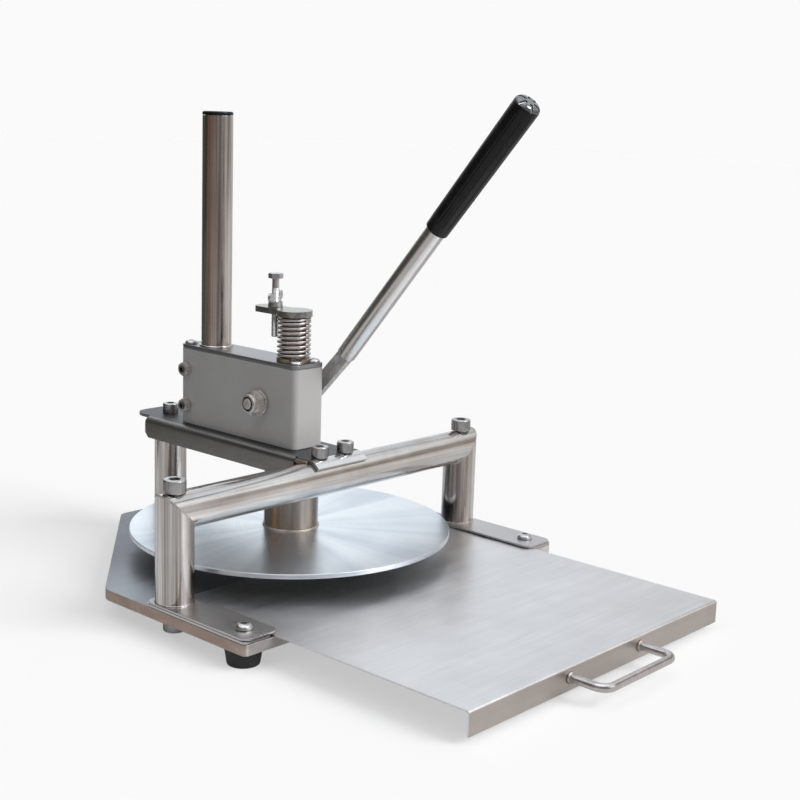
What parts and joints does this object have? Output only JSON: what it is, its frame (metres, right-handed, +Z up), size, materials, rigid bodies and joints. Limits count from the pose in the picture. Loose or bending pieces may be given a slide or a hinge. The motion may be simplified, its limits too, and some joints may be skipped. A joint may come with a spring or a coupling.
{
  "type": "manual dough press",
  "caption": "Hand-operated pizza dough press: a lever with a black grip drives a round steel disc down on a spring-returned ram over a sliding sheet tray.",
  "frame": {"origin": "where the ram's axis meets the table that the feet stand on", "axes": "+Z up along the ram; -Y to the front, where the tray's handle is; +X to the right seen from the front, where the lever is"},
  "size_m": [0.33, 0.5045, 0.3744],
  "materials": {
    "brushed_steel": "brushed",
    "polished_steel": "polished tube",
    "turned_steel": "turned",
    "zinc_steel": "bright screws",
    "spring_steel": "drawn wire",
    "bronze": "satin",
    "grey_paint": "satin paint",
    "black_rubber": "matte",
    "black_plastic": "gloss"
  },
  "bodies": {
    "frame": {"base_plate": "brushed_steel", "foot_front_left": "black_rubber", "foot_front_right": "black_rubber", "foot_rear_left": "black_rubber", "foot_rear_right": "black_rubber", "front_foot_nut_left": "zinc_steel", "front_foot_nut_right": "zinc_steel", "rear_foot_screw_left": "zinc_steel", "rear_foot_screw_right": "zinc_steel", "tray_spacer_left": "brushed_steel", "tray_spacer_right": "brushed_steel", "tray_guide_left": "brushed_steel", "tray_guide_right": "brushed_steel", "guide_screw_left": "polished_steel", "guide_screw_right": "polished_steel", "front_post_left": "polished_steel", "front_post_right": "polished_steel", "crossbar": "polished_steel", "rear_post": "polished_steel", "post_bolt_left": "zinc_steel", "post_bolt_right": "zinc_steel", "rear_post_bolt": "zinc_steel", "corner_screw_left": "zinc_steel", "corner_screw_right": "zinc_steel", "bridge_channel": "brushed_steel", "bridge_screw_left": "zinc_steel", "bridge_screw_right": "zinc_steel", "bridge_screw_rear": "zinc_steel", "head_housing": "grey_paint", "head_cover": "brushed_steel", "cover_screw_front_left": "zinc_steel", "cover_screw_front_right": "zinc_steel", "cover_screw_rear_left": "zinc_steel", "cover_screw_rear_right": "zinc_steel", "guide_bush": "bronze", "ram_guide_block": "turned_steel", "brace_pole": "polished_steel", "pole_cap": "black_plastic", "pole_block": "turned_steel", "clamp_screw_lower": "zinc_steel", "clamp_screw_upper": "zinc_steel", "clamp_washer_lower": "zinc_steel", "clamp_washer_upper": "zinc_steel", "axle_bolt": "zinc_steel", "axle_washer": "zinc_steel", "axle_nut": "zinc_steel"},
    "lever": {"rocker": "turned_steel", "lever_bar": "brushed_steel", "lever_tube": "polished_steel", "lever_grip": "black_plastic"},
    "ram": {"press_disc": "brushed_steel", "ram_hub": "turned_steel", "ram_shaft": "polished_steel", "cap_plate": "brushed_steel", "return_spring": "spring_steel"},
    "stop_bolt": {"stop_bolt": "zinc_steel"},
    "wing_nut": {"wing_nut": "zinc_steel"},
    "tray": {"tray": "brushed_steel", "tray_handle": "polished_steel"}
  },
  "joints": [
    {"name": "lever_hinge", "type": "hinge", "parent": "frame", "child": "lever", "pos_m": [0, 0.0215, 0.1362], "axis": [1, 0, 0], "range_deg": [0, 40.5]},
    {"name": "ram_slide", "type": "slide", "parent": "frame", "child": "ram", "axis": [0, 0, -1], "range_m": [0, 0.0135], "stiffness_N_per_m": 1360, "springref_m": -0.033, "deforming": ["return_spring"]},
    {"name": "tray_slide", "type": "slide", "parent": "frame", "child": "tray", "axis": [0, 1, 0], "range_m": [-0.06, 0.165]},
    {"name": "stop_bolt_slide", "type": "slide", "parent": "ram", "child": "stop_bolt", "axis": [0, 0, -1], "range_m": [-0.016, 0.0026]},
    {"name": "wing_nut_turn", "type": "hinge", "parent": "ram", "child": "wing_nut", "pos_m": [0, 0.0215, 0.2098], "axis": [0, 0, 1], "continuous": true}
  ],
  "couplings": [
    {"joint": "ram_slide", "follows": "lever_hinge", "m_per_rad": 0.019099}
  ]
}
